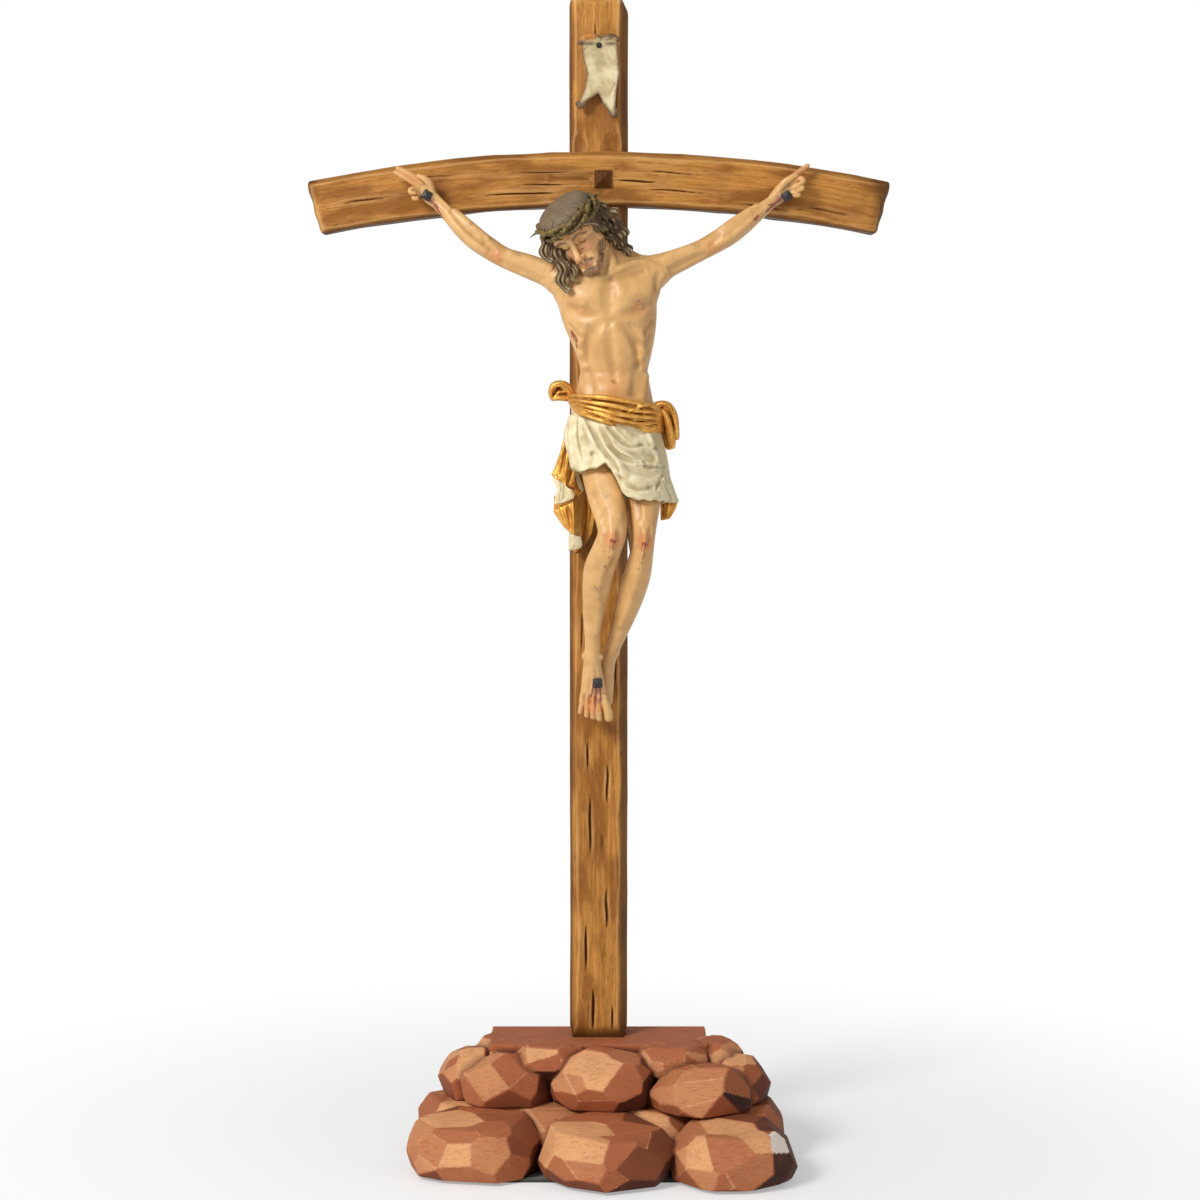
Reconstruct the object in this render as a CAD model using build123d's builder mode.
"""Altar cross: a carved figure on a hewn cross with a bent beam, stood in the socket of a base of carved rocks.

Frame: origin at the middle of the underside, +X to the right as one faces the cross, +Y to the rear, +Z up.
Lengths are in millimetres.
"""

import os
from itertools import combinations
from math import asin, atan2, cos, degrees, pi, radians, sin, sqrt

from build123d import *

# --- Driving dimensions ------------------------------------------------------------------------

# Base of carved rocks, glued up from two boards on a sheet of felt
base_depth = 112.0
base_height = 53.5
lower_board_thickness = 25.5
felt_thickness = 1.5
felt_width = 116.0
felt_depth = 84.0
felt_rear_margin = 4.0
felt_corner_radius = 8.0
boulder_facets = 18

# Upright post
post_width = 28.0
post_thickness = 20.0
post_height = 495.0
post_edge_bevel = 3.2
post_end_bevel = 2.4
post_rear_margin = 5.0
tenon_width = 23.0
tenon_thickness = 15.0
tenon_length = 32.0
tenon_bevel = 1.4
tenon_neck_height = 4.0
socket_clearance = 0.4
socket_mouth_margin = 1.2
socket_mouth_depth = 1.5

# Bent beam, half-lapped into the front of the post
beam_span = 270.0
beam_height = 26.8
beam_thickness = 17.0
beam_radius = 666.0
beam_proud = 3.0
beam_edge_bevel = 2.2
crossing_height = 410.0
lap_depth = 7.0

# Square peg through the lap
peg_side = 8.2
peg_point = 2.6
peg_length = 18.0
peg_offset = 2.0

# Fixings
nail_shank_radius = 0.9
nail_head_side = 4.6
nail_head_height = 2.2
hand_nail_length = 16.0
foot_nail_length = 22.0
screw_shank_radius = 1.6
screw_head_radius = 3.2
screw_head_height = 2.6
screw_depth_in_figure = 11.0
dowel_radius = 2.0
dowel_length = 14.0

# Scroll above the figure
scroll_width = 18.0
scroll_height = 38.0
scroll_thickness = 1.6
scroll_bow_radius = 58.0
scroll_notch = 9.0
scroll_centre_height = 48.0
scroll_nail_height = 62.0
scroll_nail_head_radius = 1.7
scroll_nail_head_height = 1.3
scroll_nail_length = 9.0

# Figure
head_height = 35.0
head_breadth = 24.0
head_depth = 29.0
head_roll = 26.0
head_turn = 24.0
head_nod = 24.0
hair_thickness = 2.2
crown_radius = 15.6
crown_height = 5.0
crown_strand_radius = 1.0
crown_sway = 7.0
thorn_radius = 0.8
thorn_point_radius = 0.2
thorn_length = 3.0
thorn_count = 5
palm_thickness = 5.6
sash_clearance = 0.1
sash_eye_radius = 1.6

# Heights on the figure are set out on the post's front for an eye at this distance and height above the crossing
eye_distance = 1431.0
eye_height = 6.5

# --- Places worked out from them ---------------------------------------------------------------

rear_y = base_depth / 2
post_back_y = rear_y - post_rear_margin
post_front_y = post_back_y - post_thickness
post_centre_y = (post_front_y + post_back_y) / 2
seam_z = felt_thickness + lower_board_thickness
crossing_z = base_height + crossing_height
post_top_z = base_height + post_height


def on_cross(across, forward, up):
    """A point given from the middle of the crossing: to the right, out from the post's front, and up."""
    return Vector(across, post_front_y - forward, crossing_z + up)


def on_figure(across, forward, up):
    """A point on the figure, set out on the post's front and moved along the eye's line to where it stands out."""
    nearness = forward / eye_distance
    return on_cross(across * (1 - nearness), forward, up + (eye_height - up) * nearness)


def finish(shape, name):
    """Labels a finished piece and writes it to its own file."""
    shape.label = name
    export_step(shape, f"parts/{name}.step")
    print(f"{name}: {len(shape.solids())} solid, {shape.volume:.0f} mm3")


def limb(stations, along=(0, 0, -1), side=(1, 0, 0)):
    """A carved round form through sections square to along, each a (middle, half width, half depth)."""
    with BuildPart() as made:
        for middle, half_width, half_depth in stations:
            with BuildSketch(Plane(origin=middle, x_dir=side, z_dir=along)):
                Ellipse(half_width, half_depth)
        loft(ruled=True)
    return made.part


def slab(low_z, high_z, front_y=-400.0, back_y=400.0):
    """A wide block between two heights, used to trim a piece."""
    with BuildPart() as made:
        with Locations((0, (front_y + back_y) / 2, (low_z + high_z) / 2)):
            Box(800, back_y - front_y, high_z - low_z)
    return made.part


os.makedirs("parts", exist_ok=True)

# --- Base: boulders carved from two glued boards -------------------------------------------------


def boulder(across, depth, height, half_width, half_depth, half_height, turn):
    """One carved rock, bounded by flat chisel facets that touch an ellipsoid."""
    facets = []
    for i in range(boulder_facets):
        rise = 1 - (2 * i + 1) / boulder_facets
        ring = sqrt(1 - rise * rise)
        angle = radians(turn) + i * pi * (3 - sqrt(5))
        facing = Vector(ring * cos(angle), ring * sin(angle), rise)
        reach = Vector(half_width * facing.X, half_depth * facing.Y, half_height * facing.Z).length
        facets.append((facing, reach * (0.93 + 0.06 * sin(turn + 2.4 * i))))
    corners = [[] for _ in facets]
    for picked in combinations(range(boulder_facets), 3):
        (a, a_reach), (b, b_reach), (c, c_reach) = (facets[i] for i in picked)
        volume = a.dot(b.cross(c))
        if abs(volume) < 1e-6:
            continue
        corner = (b.cross(c) * a_reach + c.cross(a) * b_reach + a.cross(b) * c_reach) / volume
        if all(corner.dot(facing) < reach + 1e-6 for facing, reach in facets):
            for i in picked:
                corners[i].append(corner)
    faces = []
    for (facing, _), outline in zip(facets, corners):
        if len(outline) > 2:
            middle = sum(outline, Vector()) / len(outline)
            flat = Plane(origin=middle, z_dir=facing)
            outline.sort(key=lambda corner: atan2(*flat.to_local_coords(corner).to_tuple()[:2]))
            faces.append(Face(Wire.make_polygon(outline, close=True)))
    return Solid(Shell(faces)).moved(Location((across, depth, height)))


# each boulder: across, depth, height of its middle, half width, half depth, half height, turn of its facets
lower_boulders = [
    (-57, -14, 10, 33, 27, 22, 20),
    (4, -25, 10, 33, 32, 22, 75),
    (62, -26, 9, 30, 29, 22, 140),
    (-63, 22, 11, 24, 30, 21, 200),
    (66, 16, 11, 23, 32, 22, 260),
    (-20, 20, 11, 36, 40, 20, 310),
    (28, 20, 11, 36, 40, 20, 15),
]
upper_boulders = [
    (-44, 15, 33, 23, 19, 17, 40),
    (-60, 28, 35, 16, 20, 15, 100),
    (3, 10, 35, 26, 22, 19, 170),
    (48, 1, 32, 25, 21, 16, 230),
    (67, 16, 34, 13, 18, 15, 290),
    (-24, 18, 45, 20, 15, 9.5, 330),
    (36, 16, 45, 19, 15, 9.5, 60),
    (56, 28, 43, 14, 18, 12, 120),
    (-46, 36, 42, 16, 18, 13, 150),
]

with BuildPart() as socket:
    with BuildSketch(Plane.XY.offset(base_height - tenon_length - socket_clearance)):
        with Locations((0, post_centre_y)):
            Rectangle(tenon_width + 2 * socket_clearance, tenon_thickness + 2 * socket_clearance)
    extrude(amount=tenon_length + socket_clearance)
    with BuildSketch(Plane.XY.offset(base_height - socket_mouth_depth)):
        with Locations((0, post_centre_y)):
            Rectangle(tenon_width + 2 * socket_mouth_margin, tenon_thickness + 2 * socket_mouth_margin)
    extrude(amount=socket_mouth_depth)

with BuildPart() as rock_base_lower:
    with Locations((0, rear_y - 28, seam_z / 2)):
        Box(120, 56, seam_z)
    for sizes in lower_boulders:
        add(boulder(*sizes))
    add(slab(felt_thickness, seam_z, -base_depth / 2, rear_y), mode=Mode.INTERSECT)
    add(socket.part, mode=Mode.SUBTRACT)
finish(rock_base_lower.part, "rock_base_lower")

with BuildPart() as rock_base_upper:
    with Locations((0, rear_y - 20, (seam_z + base_height) / 2)):
        Box(104, 40, base_height - seam_z)
    for sizes in upper_boulders:
        add(boulder(*sizes))
    add(slab(seam_z, base_height, -base_depth / 2, rear_y), mode=Mode.INTERSECT)
    add(socket.part, mode=Mode.SUBTRACT)
finish(rock_base_upper.part, "rock_base_upper")

with BuildPart() as base_felt:
    with BuildSketch():
        with Locations((0, rear_y - felt_rear_margin - felt_depth / 2)):
            RectangleRounded(felt_width, felt_depth, felt_corner_radius)
    extrude(amount=felt_thickness)
finish(base_felt.part, "base_felt")

# --- Cross: places, the bent beam's outline and the square peg through the lap ---------------------

beam_half_angle = asin(beam_span / 2 / beam_radius)
beam_arc_centre = (0, crossing_z - beam_radius)


def facing_front(depth_from_front):
    """The upright plane at that depth behind the post's front, which looks towards the front."""
    return Plane(origin=(0, post_front_y + depth_from_front, 0), x_dir=(1, 0, 0), z_dir=(0, -1, 0))


def bent_plank(from_depth, to_depth):
    """The bent beam's outline, two arcs about one centre closed by radial ends, between two depths."""
    start = 90 - degrees(beam_half_angle)
    sweep = 2 * degrees(beam_half_angle)
    with BuildPart() as made:
        with BuildSketch(facing_front(to_depth)):
            with BuildLine():
                lower = CenterArc(beam_arc_centre, beam_radius - beam_height / 2, start, sweep)
                upper = CenterArc(beam_arc_centre, beam_radius + beam_height / 2, start, sweep)
                Line(lower @ 0, upper @ 0)
                Line(lower @ 1, upper @ 1)
            make_face()
        extrude(amount=to_depth - from_depth)
    return made.part


peg_centre = on_cross(peg_offset, beam_proud, 0)
left_palm = on_cross(88.0, beam_proud + palm_thickness, -8.6)
right_palm = on_cross(-80.4, beam_proud + palm_thickness, -8.2)
foot_nail_seat = on_figure(-0.5, 11.6, -239.0)
scroll_nail_stand = scroll_bow_radius - sqrt((scroll_bow_radius - scroll_thickness) ** 2
                                             - (scroll_nail_height - scroll_centre_height) ** 2)
scroll_nail_seat = on_cross(0, scroll_nail_stand, scroll_nail_height)
chest_screw_seat = on_cross(4.5, 0, -62.0)
hip_screw_seat = on_cross(7.0, 0, -118.0)


def drilled(seat, radius, length):
    """A round hole, or the pin that fills it, from a seat on the front towards the rear."""
    with BuildPart() as made:
        with BuildSketch(Plane(origin=seat, x_dir=(1, 0, 0), z_dir=(0, 1, 0))):
            Circle(radius)
        extrude(amount=length)
    return made.part


with BuildPart() as beam_peg:
    with BuildSketch(Plane(origin=peg_centre, x_dir=(1, 0, 0), z_dir=(0, 1, 0))):
        Rectangle(peg_side, peg_side)
    extrude(amount=peg_length)
    with BuildSketch(Plane(origin=peg_centre, x_dir=(1, 0, 0), z_dir=(0, -1, 0))):
        Rectangle(peg_side, peg_side)
    extrude(amount=peg_point, taper=degrees(atan2(peg_side / 2 - 0.4, peg_point)))

# --- Fixings: forged nails, screws from the rear, dowels in the shoulders -------------------------


def square_nail(seat, length):
    """A forged nail: a round shank behind the seat, and a square head with a low point before it."""
    with BuildPart() as made:
        for rise, slope in ((0, 0), (nail_head_height / 2, 50)):
            with BuildSketch(Plane(origin=seat - Vector(0, rise, 0), x_dir=(1, 0, 0), z_dir=(0, -1, 0))):
                Rectangle(nail_head_side, nail_head_side)
            extrude(amount=nail_head_height / 2, taper=slope)
        add(drilled(seat, nail_shank_radius, length))
    return made.part


def wood_screw(seat):
    """A countersunk screw let in from the rear of the post, which passes its front into the figure."""
    rear = Vector(seat.X, post_back_y, seat.Z)
    with BuildPart() as made:
        with BuildSketch(Plane(origin=rear, x_dir=(1, 0, 0), z_dir=(0, -1, 0))):
            Circle(screw_head_radius)
        countersink = degrees(atan2(screw_head_radius - screw_shank_radius, screw_head_height))
        extrude(amount=screw_head_height, taper=countersink)
        add(drilled(rear - Vector(0, post_thickness + screw_depth_in_figure, 0), screw_shank_radius,
                    post_thickness + screw_depth_in_figure - screw_head_height))
    return made.part


left_hand_nail = square_nail(left_palm, hand_nail_length)
right_hand_nail = square_nail(right_palm, hand_nail_length)
foot_nail = square_nail(foot_nail_seat, foot_nail_length)
chest_screw = wood_screw(chest_screw_seat)
hip_screw = wood_screw(hip_screw_seat)

with BuildPart() as scroll_nail:
    with BuildSketch(Plane(origin=scroll_nail_seat, x_dir=(1, 0, 0), z_dir=(0, -1, 0))):
        Circle(scroll_nail_head_radius)
    extrude(amount=scroll_nail_head_height, taper=35)
    add(drilled(scroll_nail_seat, nail_shank_radius, scroll_nail_length))

# --- Post and beam, cut for each other and drilled for their fixings -------------------------------

with BuildPart() as cross_post:
    with BuildSketch(Plane.XY.offset(base_height + tenon_neck_height)):
        with Locations((0, post_centre_y)):
            Rectangle(post_width, post_thickness)
    extrude(amount=post_height - tenon_neck_height)
    chamfer(cross_post.edges().filter_by(Axis.Z), length=post_edge_bevel)
    chamfer(cross_post.faces().sort_by(Axis.Z)[-1].edges(), length=post_end_bevel)
    foot = cross_post.faces().sort_by(Axis.Z)[0]
    with BuildSketch(Plane.XY.offset(base_height), mode=Mode.PRIVATE) as tenon_top:
        with Locations((0, post_centre_y)):
            Rectangle(tenon_width, tenon_thickness)
        chamfer(tenon_top.vertices(), length=tenon_bevel)
    loft([foot, tenon_top.sketch.face()], ruled=True)
    extrude(tenon_top.sketch, amount=-tenon_length)
    add(bent_plank(-beam_proud, lap_depth), mode=Mode.SUBTRACT)
    for fixing in (beam_peg.part, foot_nail, chest_screw, hip_screw, scroll_nail.part):
        add(fixing, mode=Mode.SUBTRACT)
finish(cross_post.part, "cross_post")

with BuildPart() as cross_beam:
    add(bent_plank(-beam_proud, beam_thickness - beam_proud))
    long_edges = cross_beam.edges().filter_by(GeomType.CIRCLE).group_by(Axis.Y)[0]
    chamfer(long_edges, length=beam_edge_bevel)
    with Locations((0, post_front_y + lap_depth + post_thickness / 2, crossing_z)):
        Box(post_width, post_thickness, 2 * beam_height, mode=Mode.SUBTRACT)
    for fixing in (beam_peg.part, left_hand_nail, right_hand_nail):
        add(fixing, mode=Mode.SUBTRACT)
finish(cross_beam.part, "cross_beam")

# --- Figure: a body with carved legs and head, arms set on at the shoulders ------------------------


def stations(*rows):
    """Rows of across, forward, up, half width and half depth as the stations of a form on the cross."""
    return [(on_figure(across, forward, up), wide, deep) for across, forward, up, wide, deep in rows]


torso = limb(stations(
    (9.0, 16.0, -131.0, 18.0, 14.5),
    (8.6, 15.0, -120.0, 19.4, 15.6),
    (7.6, 14.0, -108.0, 18.6, 13.6),
    (7.2, 13.2, -98.5, 17.2, 11.4),
    (7.2, 13.0, -90.5, 16.0, 11.2),
    (7.2, 13.4, -81.0, 17.9, 13.0),
    (6.4, 13.8, -72.5, 20.3, 14.4),
    (4.8, 14.0, -63.0, 22.7, 15.0),
    (3.4, 13.6, -53.5, 23.6, 14.2),
    (3.4, 13.4, -46.0, 21.0, 12.0),
    (3.2, 14.2, -40.0, 12.0, 8.6),
    (2.4, 15.5, -35.0, 6.6, 6.6),
))
neck = limb(stations(
    (3.8, 14.5, -42.5, 7.0, 7.2),
    (1.2, 17.5, -37.5, 6.3, 6.8),
    (-2.6, 20.4, -33.0, 6.2, 6.8),
    (-6.0, 22.6, -29.0, 6.2, 6.8),
), along=(-10, -8, 13))
right_leg = limb(stations(
    (-1.0, 15.0, -124.0, 8.2, 8.2),
    (1.0, 20.5, -139.5, 8.8, 8.8),
    (3.8, 28.5, -153.5, 8.3, 8.3),
    (6.0, 34.5, -163.0, 7.4, 7.4),
    (6.2, 37.2, -170.5, 6.7, 6.7),
    (3.4, 34.5, -178.0, 6.8, 6.8),
    (0.4, 30.0, -185.5, 7.2, 7.4),
    (-0.8, 26.0, -193.0, 6.8, 7.0),
    (-1.9, 22.5, -201.0, 5.6, 5.8),
    (-2.7, 18.8, -211.0, 4.4, 4.6),
    (-2.9, 15.6, -220.5, 3.6, 4.0),
    (-3.1, 13.6, -227.5, 3.9, 4.2),
    (-3.0, 11.2, -234.0, 4.8, 4.2),
    (-2.6, 9.4, -242.0, 6.0, 3.6),
    (-2.4, 8.4, -249.0, 7.4, 2.6),
    (-2.2, 8.0, -255.5, 6.9, 1.4),
))
left_leg = limb(stations(
    (17.2, 15.0, -124.0, 8.2, 8.2),
    (20.0, 20.0, -139.5, 8.4, 8.4),
    (21.7, 27.5, -153.5, 7.4, 7.4),
    (21.7, 32.0, -163.0, 6.0, 6.4),
    (21.5, 34.0, -171.0, 5.2, 5.8),
    (20.5, 31.5, -178.5, 5.4, 6.0),
    (18.6, 27.0, -187.0, 6.3, 6.6),
    (16.7, 23.3, -193.5, 6.4, 6.6),
    (14.5, 19.2, -201.0, 5.8, 6.0),
    (11.7, 15.0, -209.5, 4.8, 5.0),
    (8.6, 11.2, -217.5, 3.9, 4.2),
    (5.5, 7.8, -225.0, 3.5, 3.8),
    (3.8, 5.2, -231.5, 4.0, 3.6),
    (2.4, 3.8, -239.5, 4.8, 3.4),
    (1.2, 2.8, -247.5, 5.2, 2.4),
))
left_reach_direction = Vector(85, 0, 52)
left_reach = limb(stations(
    (8.0, 13.8, -54.0, 12.0, 11.5),
    (17.0, 13.8, -50.5, 12.0, 11.5),
    (25.0, 13.6, -46.0, 9.6, 9.4),
    (31.0, 13.4, -41.8, 6.6, 6.8),
    (39.0, 13.0, -38.4, 5.6, 5.8),
    (48.5, 12.5, -34.0, 5.0, 5.2),
    (55.5, 12.0, -30.2, 5.3, 5.5),
    (61.0, 11.4, -26.8, 5.6, 5.6),
    (67.0, 10.4, -22.6, 5.2, 5.2),
    (75.0, 8.6, -16.3, 4.2, 4.2),
    (81.0, 6.8, -11.6, 3.5, 3.3),
    (85.5, 6.0, -8.2, 4.6, 2.9),
    (90.0, 5.8, -4.6, 4.4, 2.8),
    (92.5, 5.8, -2.4, 3.2, 2.4),
), along=left_reach_direction)
right_reach_direction = Vector(-85, 0, 52)
right_reach = limb(stations(
    (0.0, 13.8, -56.0, 12.0, 11.5),
    (-9.0, 14.0, -53.0, 11.8, 11.0),
    (-16.5, 14.0, -49.0, 9.0, 9.0),
    (-23.0, 13.6, -45.6, 6.6, 6.8),
    (-32.4, 13.0, -42.3, 5.6, 5.8),
    (-44.4, 12.4, -37.6, 5.0, 5.2),
    (-51.5, 12.0, -33.4, 5.3, 5.5),
    (-58.0, 11.2, -28.8, 5.6, 5.6),
    (-64.5, 10.0, -23.2, 5.0, 5.0),
    (-71.0, 8.2, -16.6, 4.0, 4.0),
    (-75.8, 6.6, -12.0, 3.4, 3.2),
    (-80.0, 6.0, -8.4, 4.6, 2.9),
    (-84.4, 5.8, -5.2, 4.4, 2.8),
    (-87.0, 5.8, -3.2, 3.0, 2.4),
), along=right_reach_direction)


def fingers(*rows):
    """Fingers as one group, each a row of its root, its tip (across, forward, up) and its radius at the root."""
    with BuildPart() as made:
        for root, tip, radius in rows:
            root, tip = on_cross(*root), on_cross(*tip)
            add(limb([(root, radius, radius), ((root + tip) / 2, 0.95 * radius, 0.95 * radius),
                      (tip, 0.7 * radius, 0.7 * radius)], along=tip - root))
    return made.part


left_fingers = fingers(
    ((90.0, 6.2, -4.0), (98.0, 6.6, 4.2), 1.5),
    ((89.0, 7.6, -1.6), (95.4, 10.2, 0.8), 1.5),
    ((91.4, 7.4, -5.4), (96.6, 10.4, -3.6), 1.4),
    ((91.0, 7.0, -7.8), (94.8, 10.2, -7.2), 1.3),
    ((85.0, 7.6, -5.4), (90.4, 10.6, 0.0), 1.7),
)
right_fingers = fingers(
    ((-84.0, 6.2, -3.0), (-94.0, 6.4, 4.2), 1.5),
    ((-84.8, 6.6, -4.6), (-95.6, 6.8, 2.2), 1.5),
    ((-85.6, 7.2, -6.2), (-88.8, 10.2, -6.4), 1.5),
    ((-84.6, 7.0, -8.2), (-87.2, 10.0, -8.6), 1.4),
    ((-79.0, 7.6, -5.2), (-84.6, 9.8, -0.2), 1.7),
)

left_seam = Plane(origin=on_figure(31.0, 13.4, -41.8), z_dir=left_reach_direction)
right_seam = Plane(origin=on_figure(-23.0, 13.6, -45.6), z_dir=right_reach_direction)


def dowel(seam):
    """The dowel in the middle of a shoulder seam, half of it each side."""
    with BuildPart() as made:
        with BuildSketch(seam.offset(-dowel_length / 2)):
            Circle(dowel_radius)
        extrude(amount=dowel_length)
    return made.part


left_shoulder_dowel = dowel(left_seam)
right_shoulder_dowel = dowel(right_seam)


def set_arm(reach, digits, seam, pin, nail):
    """One arm from the shoulder seam out, its hand laid flat on the beam, drilled for dowel and nail."""
    with BuildPart() as made:
        add(reach)
        split(bisect_by=seam, keep=Keep.TOP)
        add(digits)
        add(slab(0, post_top_z, back_y=post_front_y - beam_proud), mode=Mode.INTERSECT)
        add(pin, mode=Mode.SUBTRACT)
        add(nail, mode=Mode.SUBTRACT)
    return made.part


left_arm = set_arm(left_reach, left_fingers, left_seam, left_shoulder_dowel, left_hand_nail)
right_arm = set_arm(right_reach, right_fingers, right_seam, right_shoulder_dowel, right_hand_nail)

# Head: upright in its own frame, face to the front, then nodded, turned and laid over on the neck
head_place = (Location(on_figure(-10.5, 26.5, -26.3)) * Location((0, 0, 0), (0, -head_roll, 0))
              * Location((0, 0, 0), (0, 0, -head_turn)) * Location((0, 0, 0), (head_nod, 0, 0)))

# each level: height, half breadth, half depth and how far back its middle lies, as shares of the head's sizes
head_levels = [
    (-0.48, 0.12, 0.10, -0.27),
    (-0.40, 0.24, 0.24, -0.15),
    (-0.25, 0.35, 0.36, -0.06),
    (-0.10, 0.43, 0.43, 0.0),
    (0.10, 0.49, 0.48, 0.01),
    (0.28, 0.48, 0.48, 0.02),
    (0.40, 0.36, 0.38, 0.03),
    (0.48, 0.15, 0.16, 0.04),
]


def head_form(growth, lowest_level=0):
    """The head's round form from a level up, with its whole surface moved out by that growth."""
    with BuildPart() as made:
        for height, wide, deep, back in head_levels[lowest_level:]:
            swell = 1 + 2 * growth / head_height
            with BuildSketch(Plane.XY.offset(height * head_height * swell)):
                with Locations((0, back * head_depth)):
                    Ellipse(wide * head_breadth + growth, deep * head_depth + growth)
        loft(ruled=True)
    return made.part


with BuildPart() as nose:
    for height, reach, radius in ((0.06, 0.44, 1.0), (-0.08, 0.50, 1.3), (-0.15, 0.45, 2.0)):
        with BuildSketch(Plane.XY.offset(height * head_height)):
            with Locations((0, -reach * head_depth)):
                Circle(radius)
    loft()

with BuildPart() as corpus_body:
    add(torso)
    add(neck)
    add(right_leg)
    add(left_leg)
    for reach, seam in ((left_reach, left_seam), (right_reach, right_seam)):
        add(split(reach, bisect_by=seam, keep=Keep.BOTTOM, mode=Mode.PRIVATE))
    add(head_form(0).moved(head_place))
    add(nose.part.moved(head_place))
    add(slab(0, post_top_z, back_y=post_front_y), mode=Mode.INTERSECT)
    for pin in (left_shoulder_dowel, right_shoulder_dowel, foot_nail, chest_screw, hip_screw):
        add(pin, mode=Mode.SUBTRACT)
finish(corpus_body.part, "corpus_body")

finish(left_arm, "left_arm")
finish(right_arm, "right_arm")
finish(left_shoulder_dowel, "left_shoulder_dowel")
finish(right_shoulder_dowel, "right_shoulder_dowel")

# Crown: two strands laid round the hair at a slant to each other, with thorns between them
with BuildPart() as crown:
    for slant in (-crown_sway, crown_sway):
        strand = Location((0, 0, crown_height), (slant, slant, 0))
        add(Solid.make_torus(crown_radius, crown_strand_radius).moved(strand))
        for thorn in range(thorn_count):
            turn = Location((0, 0, 0), (0, 0, 360 * (thorn + 0.5) / thorn_count))
            root = strand * turn * Location((crown_radius, 0, 0), (0, 90, 0))
            add(Solid.make_cone(thorn_radius, thorn_point_radius, thorn_length).moved(root))
crown_of_thorns = crown.part.moved(head_place)

# Hair: a cap round the back of the head, open before the face, with locks that fall on both shoulders
with BuildPart() as hair_cap:
    add(head_form(hair_thickness, lowest_level=2))
    with Locations((0, -0.5 * head_depth, -0.17 * head_height)):
        Box(0.84 * head_breadth, 0.6 * head_depth, 0.62 * head_height, mode=Mode.SUBTRACT)
with BuildPart() as hair:
    add(hair_cap.part.moved(head_place))
    add(limb(stations(
        (-19.0, 24.5, -18.5, 3.4, 4.2),
        (-22.5, 26.5, -28.0, 4.0, 4.0),
        (-20.5, 27.5, -40.0, 3.2, 2.8),
        (-16.0, 27.5, -47.0, 3.0, 2.4),
        (-13.5, 26.5, -54.0, 1.6, 1.6),
    )))
    add(limb(stations(
        (1.5, 22.5, -18.0, 3.4, 5.0),
        (6.5, 20.5, -21.5, 3.4, 4.4),
        (8.8, 19.5, -28.5, 3.0, 3.6),
        (11.4, 18.5, -36.0, 2.6, 3.0),
    )))
    add(corpus_body.part, mode=Mode.SUBTRACT)
    add(crown_of_thorns, mode=Mode.SUBTRACT)
finish(hair.part, "hair")

with BuildPart() as crown_clear:
    add(crown_of_thorns)
    add(corpus_body.part, mode=Mode.SUBTRACT)
finish(crown_clear.part, "crown_of_thorns")

# Loincloth: wrapped round hips and thighs, open over the right thigh, its hem lower on the left


def cloth_wrap(growth):
    """The cloth's outer form round the hips and thighs, with its whole surface moved out by that growth."""
    wrap = stations(
        (7.2, 14.5, -104.0, 20.0, 15.4),
        (7.4, 15.5, -120.0, 22.4, 17.0),
        (8.8, 17.0, -132.0, 23.6, 18.5),
        (11.6, 19.0, -143.0, 24.0, 19.5),
        (15.2, 21.0, -153.5, 23.2, 20.0),
    )
    return limb([(middle, wide + growth, deep + growth) for middle, wide, deep in wrap])


with BuildPart() as loincloth:
    add(cloth_wrap(0))
    add(limb(stations((31.5, 17.0, -146.0, 5.0, 6.0), (34.5, 17.5, -162.0, 1.8, 2.6))))
    with Locations(Location(on_figure(-9.0, 22.0, -151.0), (0, 12, 0))):
        Box(36, 70, 25, mode=Mode.SUBTRACT)
    add(slab(0, post_top_z, back_y=post_front_y), mode=Mode.INTERSECT)
    add(corpus_body.part, mode=Mode.SUBTRACT)
    add(hip_screw, mode=Mode.SUBTRACT)
finish(loincloth.part, "loincloth")

# Sash: a gilded girdle over the top of the loincloth, deeper on the left hip
with BuildPart() as sash:
    for middle, half_width, half_depth, lean in (
        (on_figure(6.2, 14.8, -104.6), 21.0, 16.4, radians(5)),
        (on_figure(8.2, 16.0, -117.6), 23.8, 18.6, radians(12)),
    ):
        with BuildSketch(Plane(origin=middle, x_dir=(cos(lean), 0, -sin(lean)), z_dir=(-sin(lean), 0, -cos(lean)))):
            Ellipse(half_width, half_depth)
    loft(ruled=True)
    add(slab(0, post_top_z, back_y=post_front_y), mode=Mode.INTERSECT)
    add(cloth_wrap(sash_clearance), mode=Mode.SUBTRACT)
    add(corpus_body.part, mode=Mode.SUBTRACT)
    add(hip_screw, mode=Mode.SUBTRACT)
finish(sash.part, "sash")

hips = (corpus_body.part, cloth_wrap(sash_clearance), sash.part)

with BuildPart() as sash_loop:
    add(limb(stations(
        (-10.0, 9.0, -103.5, 4.2, 4.0),
        (-15.0, 12.0, -101.5, 5.0, 5.0),
        (-20.0, 14.0, -99.8, 4.6, 4.6),
        (-23.6, 15.0, -98.4, 1.6, 2.0),
    ), along=(-1, 0, 0), side=(0, 0, 1)))
    with Locations(Location(on_figure(-18.5, 14.0, -100.6), (90, 0, 0))):
        Cylinder(sash_eye_radius, post_thickness, mode=Mode.SUBTRACT)
    for worn in hips:
        add(worn, mode=Mode.SUBTRACT)
finish(sash_loop.part, "sash_loop")

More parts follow.
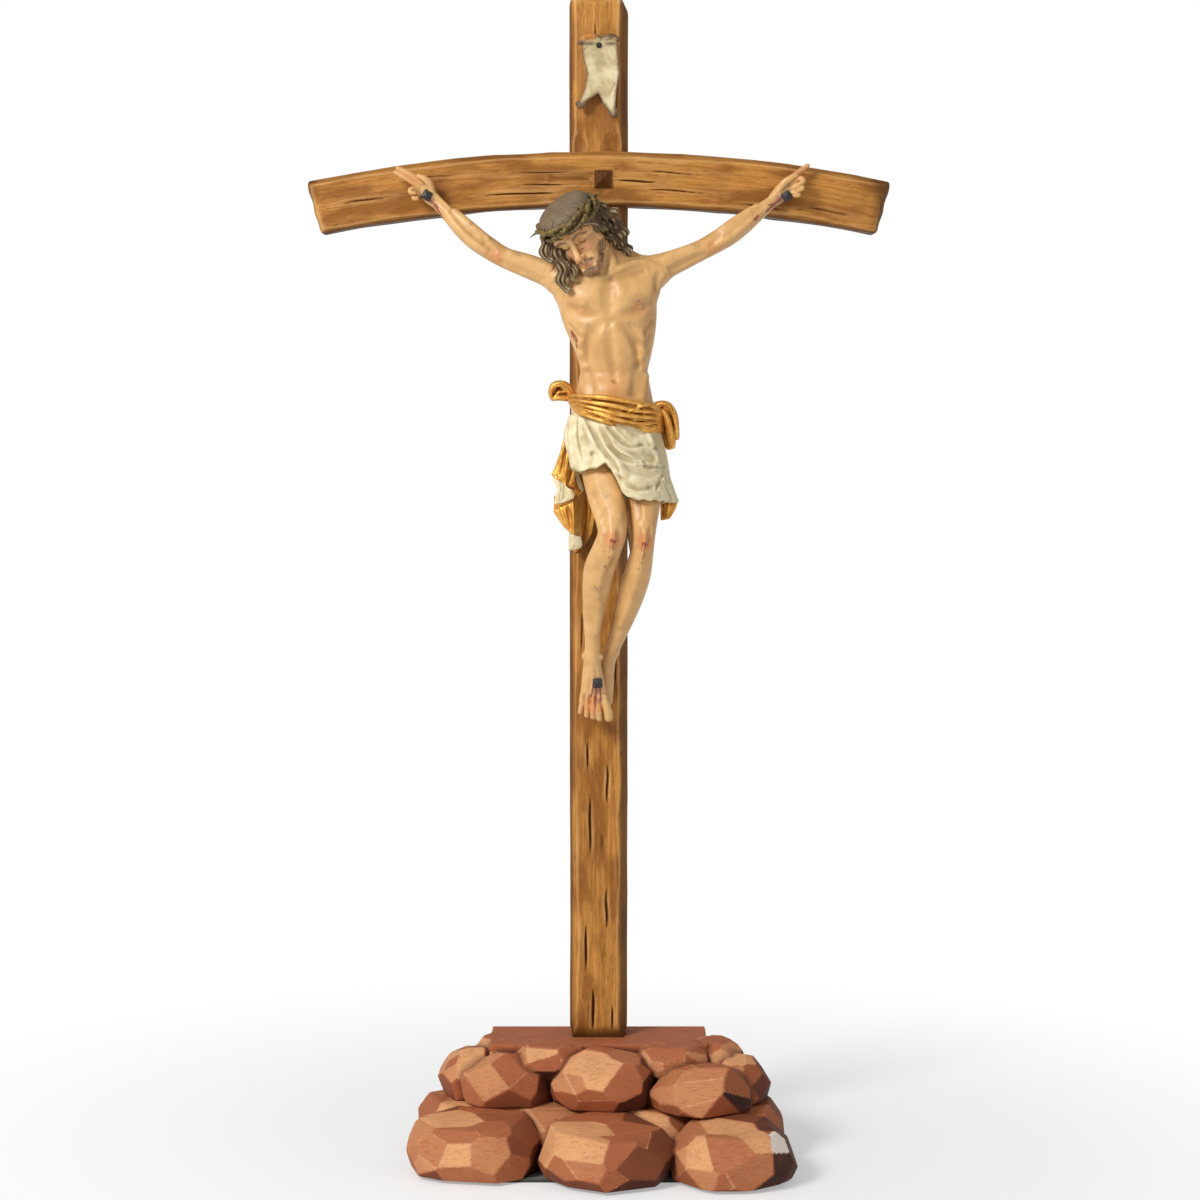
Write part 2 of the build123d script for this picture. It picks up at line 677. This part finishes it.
with BuildPart() as sash_knot:
    add(limb(stations(
        (29.5, 17.0, -105.0, 3.4, 4.2),
        (32.5, 18.0, -109.0, 5.4, 5.6),
        (34.0, 18.0, -115.0, 4.8, 5.4),
        (35.0, 17.0, -122.5, 3.8, 4.6),
        (36.2, 16.0, -128.8, 1.5, 2.2),
    )))
    for worn in hips:
        add(worn, mode=Mode.SUBTRACT)
finish(sash_knot.part, "sash_knot")

with BuildPart() as drapery_tail:
    add(limb(stations(
        (-13.5, 9.5, -120.0, 4.6, 5.0),
        (-15.5, 10.5, -132.0, 6.4, 5.6),
        (-15.4, 10.5, -142.0, 7.4, 5.6),
        (-15.0, 10.0, -157.0, 7.0, 5.4),
        (-12.6, 9.5, -168.0, 5.6, 4.6),
        (-11.4, 9.0, -177.0, 3.0, 2.4),
    )))
    for worn in hips:
        add(worn, mode=Mode.SUBTRACT)
finish(drapery_tail.part, "drapery_tail")

# --- Scroll above the figure: a bowed strip with its top curled forward and a swallow tail ---------

with BuildPart() as scroll:
    bow_centre = (post_front_y - scroll_bow_radius, crossing_z + scroll_centre_height)
    with BuildSketch(Plane.YZ.offset(-scroll_width / 2)):
        with BuildLine():
            half_sweep = degrees(asin(scroll_height / 2 / scroll_bow_radius))
            outer = CenterArc(bow_centre, scroll_bow_radius, -half_sweep, 2 * half_sweep)
            inner = CenterArc(bow_centre, scroll_bow_radius - scroll_thickness, -half_sweep, 2 * half_sweep)
            Line(outer @ 0, inner @ 0)
            Line(outer @ 1, inner @ 1)
        make_face()
    extrude(amount=scroll_width)
    with BuildSketch(Plane(origin=on_cross(0, 0, scroll_centre_height - scroll_height / 2),
                           x_dir=(1, 0, 0), z_dir=(0, -1, 0))):
        with BuildLine():
            Polyline((-scroll_width / 2, -1), (0, scroll_notch), (scroll_width / 2, -1), close=True)
        make_face()
    extrude(amount=100, both=True, mode=Mode.SUBTRACT)
    add(scroll_nail.part, mode=Mode.SUBTRACT)
finish(scroll.part, "scroll")

finish(beam_peg.part, "beam_peg")
finish(left_hand_nail, "left_hand_nail")
finish(right_hand_nail, "right_hand_nail")
finish(foot_nail, "foot_nail")
finish(scroll_nail.part, "scroll_nail")
finish(chest_screw, "chest_screw")
finish(hip_screw, "hip_screw")
